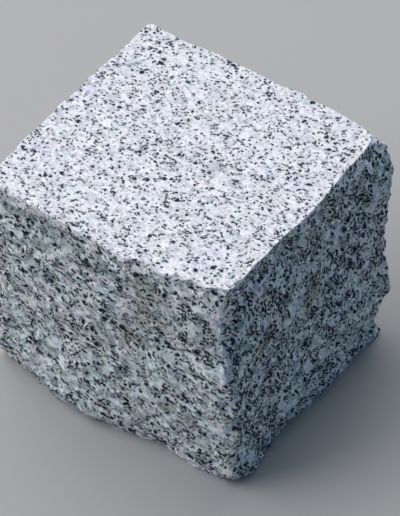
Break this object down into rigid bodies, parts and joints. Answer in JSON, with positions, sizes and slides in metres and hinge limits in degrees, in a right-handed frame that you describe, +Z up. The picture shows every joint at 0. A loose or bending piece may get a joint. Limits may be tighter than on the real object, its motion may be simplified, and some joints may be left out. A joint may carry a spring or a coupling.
{
  "type": "granite paving sett",
  "caption": "Rough cube of grey speckled granite with a flat wearing face, a flat bed and split sides, laid in a paved surface.",
  "frame": {"origin": "middle of the bed, the flat face that the sett stands on", "axes": "+Z up, square to the bed and the wearing face; X along the sett's slightly longer side and Y across it"},
  "size_m": [0.1132, 0.1029, 0.096],
  "materials": {
    "granite": "light grey granite with dark flecks: a finely bush-hammered wearing face and rough split sides"
  },
  "bodies": {
    "root": {"sett": "granite"}
  },
  "joints": []
}
